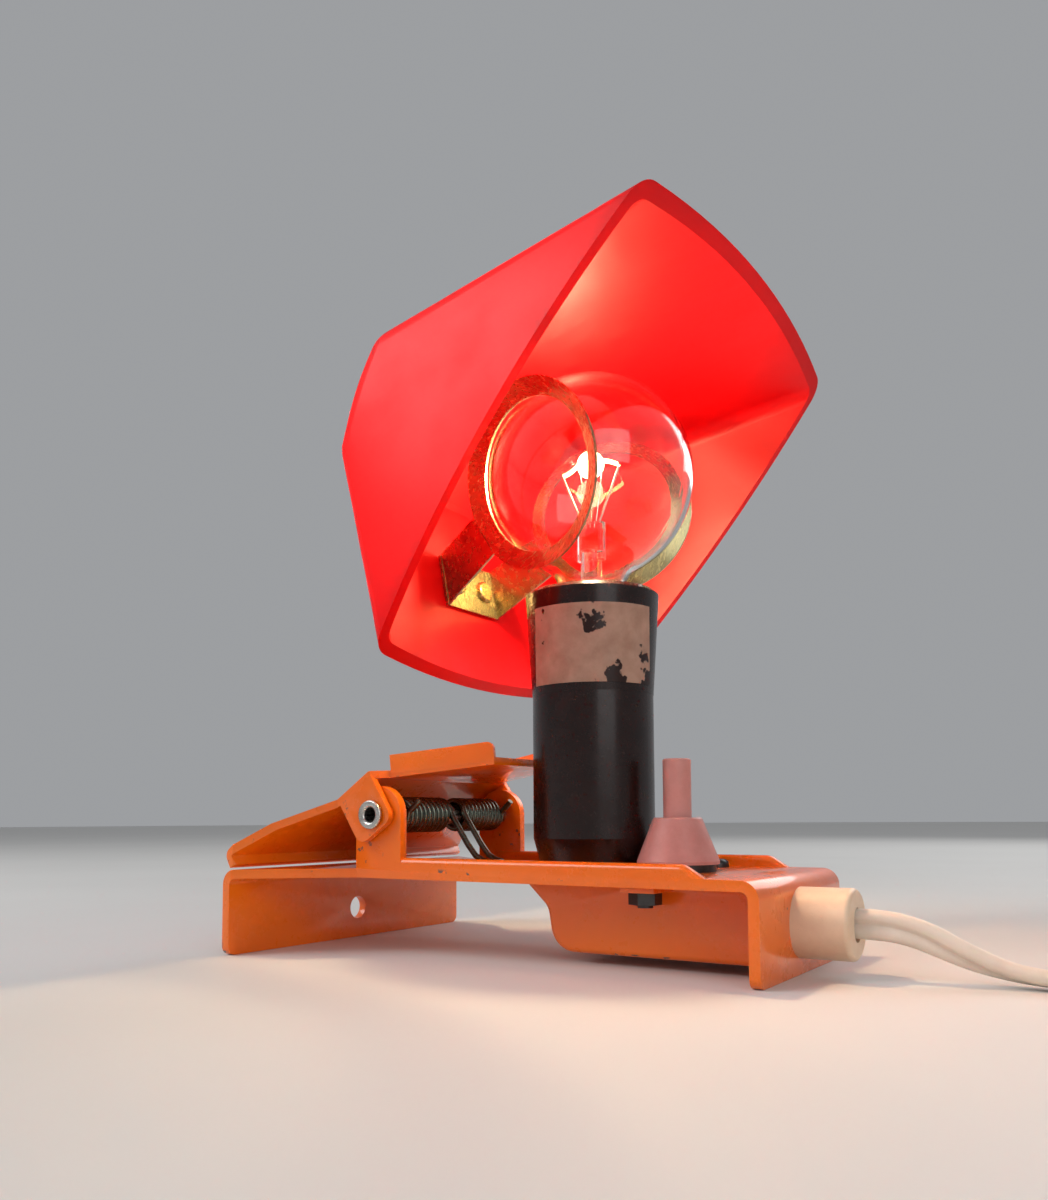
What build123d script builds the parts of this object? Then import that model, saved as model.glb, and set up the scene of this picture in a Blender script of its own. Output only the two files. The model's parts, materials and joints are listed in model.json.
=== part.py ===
from build123d import *
from math import cos, pi, radians, sin, sqrt, tan
import os

# Clamp-on bench lamp with a small screw lampholder, a clear bulb and a red shade
# that is clipped to the bulb.  Everything is drawn in lamp coordinates: X runs
# along the base from the wall flange to the cord end, Y across it, Z up from the
# table.  save() moves it to the row's origin, under the middle of its bounding box.

# ------------------------------------------------------------ driving sizes (mm)
origin_x = 62.75
origin_y = 10.63

# Base bracket, one bent sheet
sheet = 2.0
base_length = 115.0
base_height = 18.5
jaw_width = 82.0
neck_width = 48.5
neck_start_x = 23.6
bend_radius = 3.4
flange_corner = 2.0
wall_hole_radius = 2.75
wall_hole_z = 7.25
lip_width = 3.0
lip_height = 2.5
lip_end_x = 103.0
lip_run_out = 2.2
lip_nose_radius = 3.0

# Hinge
hinge_x = 29.8
hinge_z = 30.2
post_width = 12.6
pin_radius = 2.2
pin_bore = 1.55
pin_head_radius = 3.1
pin_head_thickness = 0.8
running_clearance = 0.05
body_gap = 0.35

# Clamp lever, one pressed sheet
lever_sheet = 1.6
lever_bend = 2.4
jaw_tip_x = 0.5
jaw_tip_z = 22.0
jaw_rise_x = 9.0
jaw_rise_z = 28.4
jaw_root_x = 19.6
jaw_root_z = 33.6
knee_x = 28.6
knee_z = 39.6
handle_end_x = 53.3
handle_end_z = 42.4
handle_end_half_width = 13.5
handle_lip_height = 3.4

# Torsion spring of the clamp, two coils joined by a middle loop
clamp_wire_radius = 0.7
clamp_coil_radius = 3.4
clamp_coil_play = 2.75
clamp_coil_pitch = 1.55
clamp_coil_start_y = 2.6

# Lampholder
holder_x = 69.8
holder_radius = 13.05
holder_foot_radius = 11.3
holder_foot_height = 6.5
holder_seam_z = 55.5
holder_rim_z = 78.0
holder_rim_radius = 14.5
holder_wall = 2.2
neck_overlap = 6.0
socket_radius = 7.02
socket_wall = 0.4
nipple_radius = 4.0
nipple_bore = 2.6

# Bulb, round, 45 mm across and 78 mm long, on a 14 mm screw cap
bulb_radius = 22.5
bulb_length = 78.0
bulb_centre_z = 103.8
bulb_neck_radius = 8.4
glass_wall = 0.8
cap_radius = 6.95
cap_thread_depth = 0.5
cap_thread_pitch = 2.8
cap_flare_radius = 8.4
cap_top_z = 74.0
cap_flare_z = 69.0

# Push-button switch
switch_x = 90.2
switch_y = -2.0
collar_base_radius = 8.3
collar_top_radius = 5.0
collar_height = 9.3
ring_nut_radius = 7.6
ring_nut_thickness = 1.5
button_radius = 2.85
button_top_z = 41.2
button_flange_radius = 3.7
bush_radius = 4.4
switch_block_x = 15.0
switch_block_y = 13.0
switch_block_z = 12.3

# Wiring cover under the base
cover_sheet = 1.2
cover_width = 25.0
cover_start_x = 59.4
cover_clearance = 0.9
cover_tab_x = 90.4
cover_tab_length = 7.0
cover_screw_y = 17.6
screw_radius = 1.5
screw_head_radius = 2.7
screw_head_height = 1.7
nut_across_flats = 5.5
nut_thickness = 2.3

# Cable grommet in the cord end's flange
grommet_y = -2.0
grommet_z = 9.6
grommet_radius = 6.65
grommet_hole_radius = 5.0
grommet_length = 10.5
grommet_inner_length = 3.0
grommet_inner_radius = 5.4
slot_height = 6.4
slot_width = 4.6
core_radius = 0.9
wire_start = 4.6

# Cord, its tie and its plug
cord_radius = 2.0
coil_x = 207.0
coil_y = 8.0
coil_mid_radius = 31.0
coil_width = 17.5
coil_height = 14.5
plug_length = 34.0
plug_width = 25.0
plug_thickness = 13.0
pin_length = 19.0
plug_pin_radius = 2.0
plug_pin_spacing = 18.6

# Shade, a pillow-shaped bucket that is open on one side
shade_wall = 2.0
shade_y = 9.0
mouth_y = 10.2
mouth_low_half_width = 47.5
mouth_high_half_width = 51.5
mouth_lean = 4.4
shade_back_half_width = 47.0
mouth_low = (41.8, 63.2)
mouth_high = (102.5, 140.5)
back_low = (30.1, 104.8)
back_high = (40.9, 130.6)
mouth_crown = 5.0
back_crown = 3.0
mouth_corner = 6.0
back_corner = 9.0
back_edge_fillet = 5.0

# Spring clip that holds the shade on the bulb
clip_sheet = 0.6
clip_gap = 0.4
clip_bearing_angle = 43.6
clip_ring_width = 3.8
clip_ring_dish = 1.8
clip_splay = 18.0
clip_aim = 211.0
strap_length = 21.0
strap_width = 12.0
strap_standoff = 0.45
arm_narrowing = 1.5
rivet_radius = 1.3
rivet_head_radius = 2.6
rivet_head_height = 0.9
rivet_spacing = 11.0

# ------------------------------------------------------------- derived places
plate_bottom = base_height - sheet
post_face = neck_width / 2
ear_inner = post_face + body_gap
ear_outer = ear_inner + lever_sheet
bulb_centre = Vector(holder_x, 0, bulb_centre_z)
cap_bottom_z = bulb_centre_z + bulb_radius - bulb_length
ring_nut_top = base_height + ring_nut_thickness
cover_room_z = min(plate_bottom - switch_block_z, grommet_z - grommet_inner_radius)
cover_floor_z = cover_room_z - cover_clearance - cover_sheet
clip_ring_inner = (bulb_radius + clip_gap) * sin(radians(clip_bearing_angle))
clip_ring_outer = clip_ring_inner + clip_ring_width
clamp_coil_room = post_face - sheet - clamp_coil_play - clamp_wire_radius - clamp_coil_start_y
clamp_coil_turns = int(clamp_coil_room / clamp_coil_pitch)
collar_top = ring_nut_top + collar_height

os.makedirs("parts", exist_ok=True)


def save(shape, name):
    """Move a piece from lamp coordinates to the row's origin and write it."""
    moved = Pos(-origin_x, -origin_y, 0) * shape
    moved.label = name
    export_step(moved, f"parts/{name}.step")


def cylinder(radius, low, high, x=0.0, y=0.0):
    """Upright cylinder between two heights."""
    return Pos(x, y, (low + high) / 2) * Cylinder(radius, high - low)


def tube(outer, inner, low, high, x=0.0, y=0.0):
    """Upright tube between two heights."""
    return cylinder(outer, low, high, x, y) - cylinder(inner, low - 1, high + 1, x, y)


def block(x, y, z):
    """Box given by its low and high edge along each axis."""
    size = (x[1] - x[0], y[1] - y[0], z[1] - z[0])
    middle = ((x[0] + x[1]) / 2, (y[0] + y[1]) / 2, (z[0] + z[1]) / 2)
    return Pos(*middle) * Box(*size)


def rod(start, end, radius):
    """Round rod between two points."""
    start, end = Vector(*start), Vector(*end)
    plane = Plane(origin=start, z_dir=end - start)
    return plane * Pos(0, 0, (end - start).length / 2) * Cylinder(radius, (end - start).length)


def ball(centre, radius):
    """Round joint between two rods."""
    return Pos(*centre) * Sphere(radius)


def turned(points, x=0.0, y=0.0):
    """Solid of revolution about an upright axis, from (radius, height) points."""
    face = make_face(Plane.XZ * Polyline(*points, close=True))
    return Pos(x, y, 0) * revolve(face, Axis.Z)


def hexagon(across_flats, low, high, x=0.0, y=0.0):
    """Hexagonal prism with flats facing X."""
    outline = RegularPolygon(across_flats / 2, 6, major_radius=False, rotation=30)
    return Pos(x, y, low) * extrude(outline, high - low)


def wire_rod(points, radius, bends):
    """Round wire along straight runs with rounded bends."""
    path = FilletPolyline(*points, radius=bends)
    return sweep(Plane(path @ 0, z_dir=path % 0) * Circle(radius), path)


# ------------------------------------------------------------------ base bracket
def bracket_plan(half_jaw, half_neck):
    """Plan of the base: a wide lower jaw that narrows to the neck."""
    points = [
        (0, -half_jaw),
        (sheet + 0.5, -half_jaw),
        (neck_start_x, -half_neck),
        (base_length, -half_neck),
        (base_length, half_neck),
        (neck_start_x, half_neck),
        (sheet + 0.5, half_jaw),
        (0, half_jaw),
    ]
    return extrude(make_face(Polyline(*points, close=True)), base_height)


def post(side):
    """Upright hinge post with a full-round top, on one side of the neck."""
    near, far = sorted((side * post_face, side * (post_face - sheet)))
    half = post_width / 2
    upright = block((hinge_x - half, hinge_x + half), (near, far), (plate_bottom, hinge_z))
    top = Pos(hinge_x, (near + far) / 2, hinge_z) * Rot(90, 0, 0) * Cylinder(half, sheet)
    return upright + top


def stiffening_lip(side):
    """Raised lip along one long edge, rounded on top and at its end."""
    top = base_height + lip_height
    outline = Plane.XZ * Polyline((hinge_x, plate_bottom), (lip_end_x + lip_run_out, plate_bottom),
                                  (lip_end_x + lip_run_out, base_height - 0.2),
                                  (lip_end_x - lip_run_out, top), (hinge_x, top), close=True)
    middle = side * (post_face - lip_width / 2)
    bar = Pos(0, middle, 0) * extrude(make_face(outline), lip_width / 2, both=True)
    nose = bar.edges().filter_by(Axis.Y).sort_by(Axis.Z)[-2:].sort_by(Axis.X)[-1]
    bar = fillet(nose, lip_nose_radius)
    ridges = [edge for edge in bar.edges().filter_by(Axis.X) if edge.center().Z > top - 0.01]
    return fillet(ridges, lip_width * 0.42)


def make_base_bracket():
    outer = block((0, base_length), (-jaw_width / 2, jaw_width / 2), (0, base_height))
    top_edges = outer.edges().filter_by(Axis.Y).sort_by(Axis.Z)[-2:]
    outer = fillet(top_edges, bend_radius)
    inner = block((sheet, base_length - sheet), (-jaw_width, jaw_width), (-1, plate_bottom))
    inner_edges = inner.edges().filter_by(Axis.Y).sort_by(Axis.Z)[-2:]
    inner = fillet(inner_edges, bend_radius - sheet)
    bent = (outer - inner) & bracket_plan(jaw_width / 2, neck_width / 2)
    feet = [edge for edge in bent.edges().filter_by(Axis.X) if edge.center().Z < 0.01]
    bent = fillet(feet, flange_corner)
    for side in (-1, 1):
        bent = bent + stiffening_lip(side) + post(side)
    pin_hole = Pos(hinge_x, 0, hinge_z) * Rot(90, 0, 0) * Cylinder(pin_radius, 2 * neck_width)
    wall_hole = Pos(0, 0, wall_hole_z) * Rot(0, 90, 0) * Cylinder(wall_hole_radius, 4 * sheet)
    cord_hole = Pos(base_length, grommet_y, grommet_z) * Rot(0, 90, 0)
    cord_hole = cord_hole * Cylinder(grommet_hole_radius, 4 * sheet)
    nipple_hole = cylinder(nipple_radius, 0, 2 * base_height, holder_x)
    switch_hole = cylinder(bush_radius, 0, 2 * base_height, switch_x, switch_y)
    bent = bent - pin_hole - wall_hole - cord_hole - nipple_hole - switch_hole
    for side in (-1, 1):
        bent = bent - cylinder(screw_radius, 0, 2 * base_height, cover_tab_x, side * cover_screw_y)
    return bent


# ------------------------------------------------------------------ wiring cover
def cover_block(inset):
    """Solid outline of the tray, drawn in by a wall thickness when hollowing it."""
    top = plate_bottom + inset
    end = base_length - sheet + inset
    path = FilletPolyline(
        (cover_start_x, top),
        (cover_start_x + 5.9, 11.0),
        (cover_start_x + 7.4, cover_floor_z),
        (end, cover_floor_z),
        radius=(4.0, 5.5),
    )
    closing = Polyline((end, cover_floor_z), (end, top), (cover_start_x, top))
    face = make_face(Plane.XZ * (path + closing))
    if inset:
        face = offset(face, amount=-inset)
    return extrude(face, cover_width / 2 - inset, both=True)


def make_wiring_cover():
    outer = cover_block(0)
    rims = [edge for edge in outer.edges()
            if abs(abs(edge.center().Y) - cover_width / 2) < 0.01
            and edge.center().Z < plate_bottom - 0.1 and edge.center().X < base_length - sheet - 1]
    outer = fillet(rims, cover_sheet)
    tray = outer - cover_block(cover_sheet)
    corner = bend_radius - sheet + 0.1
    end = base_length - sheet
    tray = tray - block((end - corner, end + 1), (-cover_width, cover_width),
                        (plate_bottom - corner, plate_bottom + 1))
    for side in (-1, 1):
        reach = sorted((side * (cover_width / 2 - cover_sheet), side * (post_face - lip_width)))
        tab_x = (cover_tab_x - cover_tab_length / 2, cover_tab_x + cover_tab_length / 2)
        tab = block(tab_x, reach, (plate_bottom - cover_sheet, plate_bottom))
        tray = tray + tab
        tray = tray - cylinder(screw_radius, 0, base_height, cover_tab_x, side * cover_screw_y)
    return tray


def make_cover_screws():
    """Two round-headed screws through the plate and the cover's tabs."""
    screws = []
    tip = plate_bottom - cover_sheet - nut_thickness - 0.6
    for side in (-1, 1):
        y = side * cover_screw_y
        shank = cylinder(screw_radius, tip, base_height, cover_tab_x, y)
        head = cylinder(screw_head_radius, base_height, base_height + screw_head_height,
                        cover_tab_x, y)
        head = fillet(head.edges().sort_by(Axis.Z)[-1], screw_head_height * 0.7)
        slot = Pos(cover_tab_x, y, base_height + screw_head_height) * Box(8, 0.7, 1.4)
        screws.append(shank + (head - slot))
    return Compound(children=screws)


def make_cover_nuts():
    nuts = []
    top = plate_bottom - cover_sheet
    for side in (-1, 1):
        y = side * cover_screw_y
        nut = hexagon(nut_across_flats, top - nut_thickness, top, cover_tab_x, y)
        nuts.append(nut - cylinder(screw_radius, 0, base_height, cover_tab_x, y))
    return Compound(children=nuts)


# ------------------------------------------------------------------ clamp
def make_hinge_pin():
    """Tubular rivet through both posts, with a flared head outside each ear."""
    reach = ear_outer + body_gap
    barrel = Cylinder(pin_radius, 2 * reach)
    heads = Pos(0, 0, reach + pin_head_thickness / 2) * Cylinder(pin_head_radius, pin_head_thickness)
    other = Pos(0, 0, -reach - pin_head_thickness / 2) * Cylinder(pin_head_radius,
                                                                  pin_head_thickness)
    rivet = barrel + heads + other
    rims = [edge for edge in rivet.edges().filter_by(GeomType.CIRCLE)
            if edge.radius > pin_head_radius - 0.01]
    rivet = fillet(rims, pin_head_thickness * 0.4)
    rivet = rivet - Cylinder(pin_bore, 4 * reach)
    mouths = [edge for edge in rivet.edges().filter_by(GeomType.CIRCLE)
              if abs(edge.radius - pin_bore) < 0.01]
    rivet = fillet(mouths, (pin_head_radius - pin_bore) * 0.45)
    return Pos(hinge_x, 0, hinge_z) * Rot(90, 0, 0) * rivet


def lever_plan():
    """Plan of the lever: wide jaw, straight ears, and a handle that narrows."""
    half_jaw = jaw_width / 2
    handle_root = post_face - sheet - body_gap
    half = [
        (jaw_tip_x - 3, half_jaw),
        (jaw_tip_x + 2.5, half_jaw),
        (jaw_root_x, ear_outer),
        (knee_x + 0.6, ear_outer),
        (knee_x + 2.4, handle_root),
        (handle_end_x + 2, handle_end_half_width),
    ]
    mirrored = [(x, -y) for x, y in reversed(half)]
    plan = make_face(Polyline(*half, *mirrored, close=True))
    return extrude(plan, 3 * hinge_z)


def lever_ear(side):
    """Hinge ear bent down from the lever's sheet, square to its slope."""
    slope = Vector(knee_x - jaw_root_x, 0, knee_z - jaw_root_z).normalized()
    down = Vector(slope.Z, 0, -slope.X)
    start = Vector(jaw_root_x, 0, jaw_root_z)
    width = (Vector(knee_x, 0, knee_z) - start).length
    depth = 12.2
    corners = [start, start + slope * width, start + slope * width + down * depth,
               start + down * depth]
    outline = make_face(Plane.XZ * Polyline(*[(c.X, c.Z) for c in corners], close=True))
    lower = outline.vertices().sort_by(Axis.Z)[:2]
    outline = fillet(lower, 2.4)
    ear = extrude(outline, lever_sheet / 2, both=True)
    return Pos(0, side * (ear_inner + lever_sheet / 2), 0) * ear


def handle_lip(side):
    """Low upturned lip along one edge of the handle."""
    root_half = post_face - sheet - body_gap
    root_x = knee_x + 2.4
    slope = Vector(handle_end_x - knee_x, 0, handle_end_z - knee_z)
    taper = (handle_end_half_width - root_half) / (handle_end_x + 2 - root_x)

    def top(x):
        return knee_z + slope.Z / slope.X * (x - knee_x)

    def edge(x):
        return root_half + taper * (x - root_x)

    end_x = handle_end_x - 0.1
    start = Vector(root_x, side * (edge(root_x) - lever_sheet / 2), top(root_x))
    end = Vector(end_x, side * (edge(end_x) - lever_sheet / 2), top(end_x))
    rise = handle_lip_height + lever_sheet * 0.5
    middle_z = handle_lip_height / 2 - lever_sheet * 0.25
    profile = Rectangle(lever_sheet, rise)
    along = Plane(origin=start, x_dir=(0, 1, 0), z_dir=end - start)
    bar = extrude(along * Pos(0, middle_z if along.y_dir.Z > 0 else -middle_z) * profile,
                  (end - start).length)
    far_edges = bar.faces().sort_by(Axis.X)[-1].edges().sort_by(Axis.Z)[-1]
    return fillet(far_edges, 1.4)


def make_clamp_lever():
    path = FilletPolyline(
        (jaw_tip_x + 1.7, base_height + body_gap),
        (jaw_tip_x, jaw_tip_z),
        (jaw_rise_x, jaw_rise_z),
        (jaw_root_x, jaw_root_z),
        (knee_x, knee_z),
        (handle_end_x, handle_end_z),
        radius=(1.9, lever_bend, lever_bend, lever_bend),
    )
    strip = offset(path, amount=lever_sheet, side=Side.RIGHT, closed=True)
    sheet_face = make_face(Plane.XZ * strip)
    body = extrude(sheet_face, jaw_width, both=True) & lever_plan()
    for side in (-1, 1):
        body = body + lever_ear(side) + handle_lip(side)
    bore = Pos(hinge_x, 0, hinge_z) * Rot(90, 0, 0)
    bore = bore * Cylinder(pin_radius + running_clearance, 2 * jaw_width)
    return body - bore


def clamp_coil(side):
    """One closed-wound coil round the hinge pin."""
    height = clamp_coil_turns * clamp_coil_pitch
    helix = Helix(clamp_coil_pitch, height, clamp_coil_radius, lefthand=side < 0)
    coil = sweep(Plane(helix @ 0, z_dir=helix % 0) * Circle(clamp_wire_radius), helix,
                 is_frenet=True)
    turn = Rot(-90, 0, 0) if side > 0 else Rot(90, 0, 0)
    return Pos(hinge_x, side * clamp_coil_start_y, hinge_z) * turn * coil


def make_torsion_spring():
    """Twin torsion spring: middle loop on the plate, outer legs under the handle."""
    wire = clamp_wire_radius
    joint = wire * 1.08
    loop_tip_x = hinge_x + 15.0
    loop_z = base_height + wire + 0.1
    spring = []
    for side in (-1, 1):
        start = (hinge_x + clamp_coil_radius, side * clamp_coil_start_y, hinge_z)
        bend = (loop_tip_x - 4.5, side * clamp_coil_start_y, loop_z + 0.8)
        tip = (loop_tip_x, side * clamp_coil_start_y, loop_z)
        outer_y = side * (clamp_coil_start_y + clamp_coil_turns * clamp_coil_pitch)
        leg_start = (hinge_x + clamp_coil_radius, outer_y, hinge_z)
        leg_end = (hinge_x + 9.5, outer_y * 0.96, knee_z - lever_sheet - wire - 0.5)
        spring += [clamp_coil(side), ball(start, joint), rod(start, bend, wire)]
        spring += [ball(bend, wire)]
        spring += [rod(bend, tip, wire), ball(tip, wire)]
        spring += [ball(leg_start, joint), rod(leg_start, leg_end, wire), ball(leg_end, wire)]
    tips = [(loop_tip_x, side * clamp_coil_start_y, loop_z) for side in (-1, 1)]
    spring.append(rod(tips[0], tips[1], wire))
    whole = spring[0]
    for piece in spring[1:]:
        whole = whole + piece
    return whole


# ------------------------------------------------------------------ lampholder
def make_lampholder_body():
    """Lower shell, tapered at its foot, with a reduced neck for the upper ring."""
    neck = holder_radius - 1.1
    bore = holder_radius - holder_wall - 0.3
    points = [
        (nipple_radius, base_height),
        (holder_foot_radius, base_height),
        (holder_radius, base_height + holder_foot_height),
        (holder_radius, holder_seam_z),
        (neck, holder_seam_z),
        (neck, holder_seam_z + neck_overlap),
        (bore, holder_seam_z + neck_overlap),
        (bore, base_height + 3.0),
        (nipple_radius, base_height + 3.0),
    ]
    return turned(points, holder_x)


def make_lampholder_skirt():
    """Upper ring that flares to the rim."""
    neck = holder_radius - 1.1
    bore = holder_radius - holder_wall - 0.3
    points = [
        (neck, holder_seam_z),
        (holder_radius + 0.05, holder_seam_z),
        (holder_rim_radius, holder_rim_z - 0.8),
        (holder_rim_radius - 0.8, holder_rim_z),
        (holder_rim_radius - holder_wall, holder_rim_z),
        (bore, holder_seam_z + neck_overlap + 3.0),
        (bore, holder_seam_z + neck_overlap),
        (neck, holder_seam_z + neck_overlap),
    ]
    return turned(points, holder_x)


def make_thread_shell():
    """Brass shell that the bulb's cap turns in."""
    return tube(socket_radius + socket_wall, socket_radius, cap_bottom_z + 3.0,
                cap_flare_z - 1.2, holder_x)


def make_holder_insert():
    """Ceramic insert that carries the shell and the centre contact."""
    bore = holder_radius - holder_wall - 0.3
    base_top = cap_bottom_z - 1.2
    disc = cylinder(bore, base_top - 5.0, base_top, holder_x)
    collar = tube(bore, socket_radius + socket_wall, base_top, cap_bottom_z + 10.0, holder_x)
    recess = cylinder(4.0, base_top - 1.0, base_top + 1, holder_x)
    screw_holes = [cylinder(screw_radius, 0, base_top - 2.5, holder_x + side * 6.0)
                   for side in (-1, 1)]
    return disc + collar - recess - screw_holes[0] - screw_holes[1]


def make_centre_contact():
    """Small raised brass contact under the cap's centre."""
    base_top = cap_bottom_z - 1.2
    pad = cylinder(4.0, base_top - 1.0, base_top - 0.5, holder_x)
    stud = cylinder(1.8, base_top - 0.5, cap_bottom_z - body_gap, holder_x)
    return pad + stud


def make_holder_terminals():
    """Two terminal screws under the insert."""
    base_bottom = cap_bottom_z - 6.2
    terminals = []
    for side in (-1, 1):
        x = holder_x + side * 6.0
        shank = cylinder(screw_radius, base_bottom, base_bottom + 2.5, x)
        head = cylinder(2.4, base_bottom - 1.8, base_bottom, x)
        terminals.append(shank + head)
    return Compound(children=terminals)


def make_holder_nipple():
    return tube(nipple_radius, nipple_bore, plate_bottom - 3.6, base_height + 6.0, holder_x)


def make_nipple_nut():
    nut = hexagon(11.0, plate_bottom - 2.6, plate_bottom, holder_x)
    return nut - cylinder(nipple_radius, 0, base_height, holder_x)


def make_nipple_ring():
    """Ring nut that holds the lampholder down from inside."""
    ring = hexagon(12.0, base_height + 3.0, base_height + 5.4, holder_x)
    return ring - cylinder(nipple_radius, 0, 2 * base_height, holder_x)


def make_rating_label():
    """Thin blank sticker that follows the upper ring's flare."""
    low, high = holder_seam_z + 1.6, holder_rim_z - 4.6
    flare = (holder_rim_radius - holder_radius - 0.05) / (holder_rim_z - 0.8 - holder_seam_z)

    def surface(z):
        return holder_radius + 0.05 + flare * (z - holder_seam_z)

    points = [(surface(low) + 0.02, low), (surface(low) + 0.17, low),
              (surface(high) + 0.17, high), (surface(high) + 0.02, high)]
    ring = turned(points, holder_x)
    facing = Rot(0, 0, -61)
    window = Pos(holder_x, 0, 0) * facing * Pos(20, 0, (low + high) / 2) * Box(40, 24.0, 60)
    return ring & window


# ------------------------------------------------------------------ bulb
def make_bulb_glass():
    """Thin clear globe that runs into a neck."""
    def shell(radius, neck):
        globe = Pos(*bulb_centre) * Sphere(radius)
        stalk_low = cap_flare_z + 1.4
        stalk = cylinder(neck, stalk_low, bulb_centre_z, holder_x)
        fused = globe + stalk
        seam = [edge for edge in fused.edges().filter_by(GeomType.CIRCLE)
                if stalk_low + 1 < edge.center().Z < bulb_centre_z]
        return fillet(seam, 5.0)

    return shell(bulb_radius, bulb_neck_radius - 1.0) - shell(
        bulb_radius - glass_wall, bulb_neck_radius - 1.0 - glass_wall)


def make_bulb_cap():
    """Nickelled screw cap: waved thread, flared rim, closed by the insulator."""
    low = cap_bottom_z + 2.6
    outer = [(cap_radius - 2.0, low - 0.6), (cap_radius - cap_thread_depth, low)]
    turns = int((cap_flare_z - 1.0 - low) / cap_thread_pitch)
    for turn in range(turns):
        crest = low + cap_thread_pitch * (turn + 0.5)
        outer += [(cap_radius, crest), (cap_radius - cap_thread_depth,
                                        crest + cap_thread_pitch / 2)]
    outer += [(cap_radius - 0.1, cap_flare_z), (cap_flare_radius, cap_flare_z + 2.2),
              (cap_flare_radius, cap_top_z)]
    wall = 0.35
    inner = [(radius - wall, height) for radius, height in reversed(outer)]
    return turned(outer + inner, holder_x)


def make_cap_insulator():
    """Black glass button that closes the cap's end."""
    low = cap_bottom_z + 0.5
    return turned([(0, low), (2.4, low), (cap_radius - 2.5, cap_bottom_z + 2.4),
                   (cap_radius - 2.5, cap_bottom_z + 3.6), (0, cap_bottom_z + 3.6)], holder_x)


def make_cap_contact():
    return fillet(cylinder(1.9, cap_bottom_z, cap_bottom_z + 0.5, holder_x).edges()
                  .sort_by(Axis.Z)[0], 0.3)


stem_top = bulb_centre_z - 10.0
lead_top = bulb_centre_z + 1.5
lead_spread = 7.0


def make_glass_stem():
    """Glass mount inside the bulb: flared foot, pinched press and a button."""
    low = cap_flare_z + 2.0
    foot = turned([(0, low), (5.6, low), (2.6, low + 4.5), (2.2, stem_top - 6.0),
                   (0, stem_top - 6.0)], holder_x)
    press = block((holder_x - 3.2, holder_x + 3.2), (-1.3, 1.3), (stem_top - 8.0, stem_top))
    press = fillet(press.edges().filter_by(Axis.Z), 0.9)
    return foot + press


def make_lead_wires():
    """Two leads that spread from the stem to the filament's ends."""
    leads = []
    for side in (-1, 1):
        start = (holder_x + side * 2.0, 0, stem_top)
        end = (holder_x + side * lead_spread, 0, lead_top)
        leads.append(rod(start, end, 0.25))
    return Compound(children=leads)


def make_filament():
    """Coiled filament hung between the leads in a shallow bow."""
    inner = lead_spread + 0.2
    arc = ThreePointArc((holder_x - inner, 0, lead_top + 0.4), (holder_x, 0, lead_top + 3.0),
                        (holder_x + inner, 0, lead_top + 0.4))
    return sweep(Plane(arc @ 0, z_dir=arc % 0) * Circle(0.35), arc)


# ------------------------------------------------------------------ switch
def make_switch_nut():
    """Thin ring nut that clamps the switch's bush to the plate."""
    return tube(ring_nut_radius, bush_radius, base_height, ring_nut_top, switch_x, switch_y)


def make_switch_collar():
    """Tapered collar round the button."""
    points = [
        (bush_radius, ring_nut_top),
        (collar_base_radius, ring_nut_top),
        (collar_base_radius, ring_nut_top + 0.6),
        (collar_top_radius, collar_top - 0.3),
        (collar_top_radius - 0.3, collar_top),
        (button_radius + running_clearance, collar_top),
        (button_radius + running_clearance, ring_nut_top + 1.2),
        (bush_radius, ring_nut_top + 1.2),
    ]
    return turned(points, switch_x, switch_y)


chamber_radius = button_flange_radius + body_gap
chamber_low = plate_bottom - switch_block_z + 1.2
chamber_high = plate_bottom - 1.2
button_flange_top = chamber_high - body_gap
button_flange_low = button_flange_top - 1.5


def make_switch_body():
    """Moulded block under the plate with a threaded bush through it."""
    half_x, half_y = switch_block_x / 2, switch_block_y / 2
    low = plate_bottom - switch_block_z
    body = block((switch_x - half_x, switch_x + half_x), (switch_y - half_y, switch_y + half_y),
                 (low, plate_bottom))
    body = fillet(body.edges().filter_by(Axis.Z), 1.2)
    body = body + cylinder(bush_radius, plate_bottom, ring_nut_top + 1.2, switch_x, switch_y)
    bore = cylinder(button_radius + running_clearance, low + 2, 2 * base_height,
                    switch_x, switch_y)
    chamber = cylinder(chamber_radius, chamber_low, chamber_high, switch_x, switch_y)
    return body - bore - chamber


def make_push_button():
    """Plain round plunger with a stop flange inside the block."""
    plunger = cylinder(button_radius, button_flange_low, button_top_z, switch_x, switch_y)
    plunger = fillet(plunger.edges().sort_by(Axis.Z)[-1], 0.35)
    return plunger + cylinder(button_flange_radius, button_flange_low, button_flange_top,
                              switch_x, switch_y)


def make_switch_spring():
    """Return spring between the block's floor and the button's flange."""
    wire = 0.3
    height = button_flange_low - chamber_low - 2 * wire - 0.2
    helix = Helix(height / 5, height, 2.4)
    coil = sweep(Plane(helix @ 0, z_dir=helix % 0) * Circle(wire), helix, is_frenet=True)
    return Pos(switch_x, switch_y, chamber_low + wire + 0.1) * coil


def make_switch_terminals():
    """Two solder tags on the block's ends."""
    tags = []
    for side in (-1, 1):
        face = switch_x + side * switch_block_x / 2
        tag_x = sorted((face, face + side * 0.8))
        tags.append(block(tag_x, (switch_y - 2.0, switch_y + 2.0), (7.0, 12.5)))
    return Compound(children=tags)


# ------------------------------------------------------------------ cable entry
def cord_slot(start, end):
    """Upright slot with round ends, along X."""
    profile = SlotOverall(slot_height, slot_width, rotation=90)
    plane = Plane(origin=(start, grommet_y, grommet_z), x_dir=(0, 1, 0), z_dir=(1, 0, 0))
    return extrude(plane * profile, end - start)


def grommet_disc(radius, start, end):
    """Disc of the grommet, along X."""
    length = end - start
    return Pos(start + length / 2, grommet_y, grommet_z) * Rot(0, 90, 0) * Cylinder(radius, length)


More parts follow.
